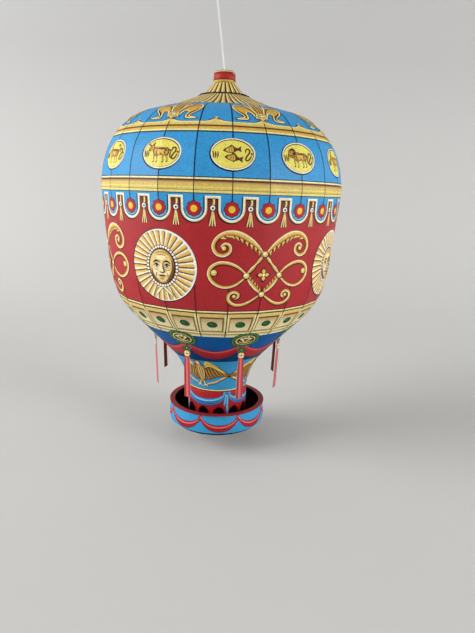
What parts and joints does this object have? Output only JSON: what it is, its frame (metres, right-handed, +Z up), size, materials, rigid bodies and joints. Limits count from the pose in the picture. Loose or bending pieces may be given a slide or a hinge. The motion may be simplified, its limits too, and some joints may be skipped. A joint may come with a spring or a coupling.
{
  "type": "hanging card model of a historic balloon",
  "caption": "Printed card model of an eighteenth-century balloon: gored envelope, arched neck, round gallery and hinged paper pennants, hung by a thread loop.",
  "frame": {"origin": "middle of the tied loop at the top of the thread, which the model hangs by", "axes": "+Z up, along the envelope's axis; -Y is the front, where a scroll ornament faces; +X is to the right seen from the front"},
  "size_m": [0.1506, 0.1506, 0.2755],
  "materials": {
    "blue_print": "matt printed card, light blue",
    "red_print": "matt printed card, red",
    "cream_print": "matt printed card, cream and gold",
    "deep_blue_print": "matt printed card, deep blue",
    "neck_print": "matt printed card, blue and gold",
    "gold_print": "matt printed card, gold",
    "dark_card": "matt card, near black",
    "thread": "white cotton thread"
  },
  "bodies": {
    "thread": {"thread": "thread"},
    "balloon": {"upper_gores_01": "blue_print", "upper_gores_02": "blue_print", "upper_gores_03": "blue_print", "upper_gores_04": "blue_print", "upper_gores_05": "blue_print", "upper_gores_06": "blue_print", "upper_gores_07": "blue_print", "upper_gores_08": "blue_print", "upper_gores_09": "blue_print", "upper_gores_10": "blue_print", "upper_gores_11": "blue_print", "upper_gores_12": "blue_print", "middle_band_front": "red_print", "middle_band_back": "red_print", "lower_gores_01": "cream_print", "lower_gores_02": "cream_print", "lower_gores_03": "cream_print", "lower_gores_04": "cream_print", "lower_gores_05": "cream_print", "lower_gores_06": "cream_print", "lower_gores_07": "cream_print", "lower_gores_08": "cream_print", "lower_gores_09": "cream_print", "lower_gores_10": "cream_print", "lower_gores_11": "cream_print", "lower_gores_12": "cream_print", "lower_cone": "deep_blue_print", "neck_funnel": "neck_print", "arcade_wall": "red_print", "gallery_rim": "red_print", "gallery_wall": "blue_print", "gallery_floor": "dark_card", "crown_cone": "gold_print", "collar": "red_print", "collar_cap": "cream_print"},
    "pennant_1": {"pennant_1": "red_print"},
    "pennant_2": {"pennant_2": "red_print"},
    "pennant_3": {"pennant_3": "red_print"},
    "pennant_4": {"pennant_4": "red_print"},
    "pennant_5": {"pennant_5": "red_print"},
    "pennant_6": {"pennant_6": "red_print"},
    "pennant_7": {"pennant_7": "red_print"},
    "pennant_8": {"pennant_8": "red_print"}
  },
  "joints": [
    {"name": "turn_on_thread", "type": "hinge", "parent": "thread", "child": "balloon", "pos_m": [0.00583, -0.00202, -0.04643], "axis": [0, 0, 1], "continuous": true},
    {"name": "pennant_1_fold", "type": "hinge", "parent": "balloon", "child": "pennant_1", "pos_m": [0.00583, -0.04562, -0.20938], "axis": [-1, 0, 0], "range_deg": [-30, 75]},
    {"name": "pennant_2_fold", "type": "hinge", "parent": "balloon", "child": "pennant_2", "pos_m": [0.03666, -0.03285, -0.20938], "axis": [-0.7071, -0.7071, 0], "range_deg": [-30, 75]},
    {"name": "pennant_3_fold", "type": "hinge", "parent": "balloon", "child": "pennant_3", "pos_m": [0.04943, -0.00202, -0.20938], "axis": [0, -1, 0], "range_deg": [-30, 75]},
    {"name": "pennant_4_fold", "type": "hinge", "parent": "balloon", "child": "pennant_4", "pos_m": [0.03666, 0.02881, -0.20938], "axis": [0.7071, -0.7071, 0], "range_deg": [-30, 75]},
    {"name": "pennant_5_fold", "type": "hinge", "parent": "balloon", "child": "pennant_5", "pos_m": [0.00583, 0.04158, -0.20938], "axis": [1, 0, 0], "range_deg": [-30, 75]},
    {"name": "pennant_6_fold", "type": "hinge", "parent": "balloon", "child": "pennant_6", "pos_m": [-0.025, 0.02881, -0.20938], "axis": [0.7071, 0.7071, 0], "range_deg": [-30, 75]},
    {"name": "pennant_7_fold", "type": "hinge", "parent": "balloon", "child": "pennant_7", "pos_m": [-0.03777, -0.00202, -0.20938], "axis": [0, 1, 0], "range_deg": [-30, 75]},
    {"name": "pennant_8_fold", "type": "hinge", "parent": "balloon", "child": "pennant_8", "pos_m": [-0.025, -0.03285, -0.20938], "axis": [-0.7071, 0.7071, 0], "range_deg": [-30, 75]}
  ]
}
